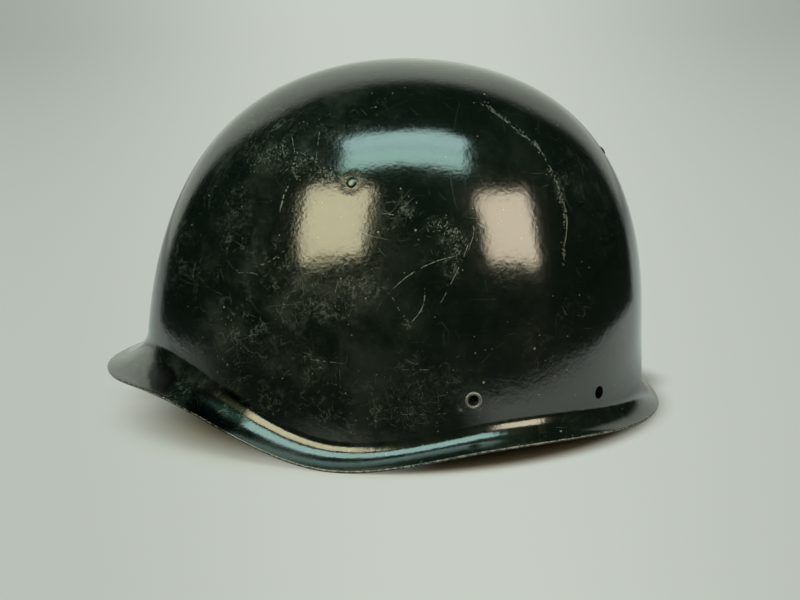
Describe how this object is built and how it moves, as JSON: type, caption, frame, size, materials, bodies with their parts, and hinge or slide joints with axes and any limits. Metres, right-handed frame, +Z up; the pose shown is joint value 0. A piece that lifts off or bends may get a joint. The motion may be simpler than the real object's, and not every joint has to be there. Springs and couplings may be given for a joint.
{
  "type": "fire helmet",
  "caption": "Pressed steel service helmet shell with a flared brim, a riveted hoop liner with leather tongues, and a chin strap in two halves with a roller buckle.",
  "frame": {"origin": "centre of the helmet's footprint, on the table that it stands on", "axes": "-Y out over the visor, +Y over the nape, +X out of the wearer's left side, +Z up through the crown"},
  "size_m": [0.2386, 0.2814, 0.1775],
  "materials": {
    "shell_paint": "gloss, scratched and chipped",
    "eyelet_steel": "worn",
    "zinc": "dull zinc",
    "wire": "satin",
    "brass": "dull",
    "felt": "matt",
    "liner_leather": "worn satin",
    "strap_leather": "worn satin"
  },
  "bodies": {
    "helmet": {"shell": "shell_paint", "liner_rivet_left": "shell_paint", "liner_rivet_right": "shell_paint", "liner_rivet_rear": "shell_paint", "rivet_washers": "zinc", "eyelet_left": "eyelet_steel", "eyelet_right": "eyelet_steel", "liner_hoop": "zinc", "hanger_left": "zinc", "hanger_right": "zinc", "hanger_rear": "zinc", "hoop_rivets": "zinc", "felt_band": "felt", "sweatband": "liner_leather", "tongue_1": "liner_leather", "tongue_2": "liner_leather", "tongue_3": "liner_leather", "tongue_4": "liner_leather", "tongue_5": "liner_leather", "tongue_6": "liner_leather", "tongue_7": "liner_leather", "tongue_8": "liner_leather", "crown_patch": "liner_leather", "bail_left": "zinc", "bail_right": "zinc", "bail_rivets": "zinc"},
    "left_ring": {"ring_left": "wire"},
    "right_ring": {"ring_right": "wire"},
    "short_strap": {"strap_short": "strap_leather", "strap_short_rivets": "brass"},
    "long_strap": {"strap_long": "strap_leather", "strap_long_rivets": "brass"},
    "buckle": {"buckle_frame": "wire"},
    "roller": {"buckle_roller": "wire"},
    "prong": {"buckle_prong": "wire"},
    "strap_keeper": {"keeper": "strap_leather"}
  },
  "joints": [
    {"name": "left_ring_swing", "type": "hinge", "parent": "helmet", "child": "left_ring", "pos_m": [0.0898, 0.009, 0.039], "axis": [0, 1, 0], "range_deg": [0, 20]},
    {"name": "right_ring_swing", "type": "hinge", "parent": "helmet", "child": "right_ring", "pos_m": [-0.0898, 0.009, 0.039], "axis": [0, -1, 0], "range_deg": [0, 15]},
    {"name": "short_strap_swing", "type": "hinge", "parent": "left_ring", "child": "short_strap", "pos_m": [0.0898, 0.009, 0.027], "axis": [0, 1, 0], "range_deg": [0, 30]},
    {"name": "long_strap_swing", "type": "hinge", "parent": "right_ring", "child": "long_strap", "pos_m": [-0.0898, 0.009, 0.027], "axis": [0, -1, 0], "range_deg": [0, 20]},
    {"name": "buckle_swing", "type": "hinge", "parent": "short_strap", "child": "buckle", "pos_m": [0.0068, 0.009, 0.00375], "axis": [0, 1, 0], "range_deg": [0, 45]},
    {"name": "prong_swing", "type": "hinge", "parent": "buckle", "child": "prong", "pos_m": [0.0068, 0.009, 0.00375], "axis": [0, 1, 0], "range_deg": [0, 55]},
    {"name": "roller_spin", "type": "hinge", "parent": "buckle", "child": "roller", "pos_m": [-0.01015, 0.009, 0.0025], "axis": [0, 1, 0], "continuous": true},
    {"name": "keeper_slide", "type": "slide", "parent": "short_strap", "child": "strap_keeper", "axis": [1, 0, 0], "range_m": [0, 0.04]}
  ]
}
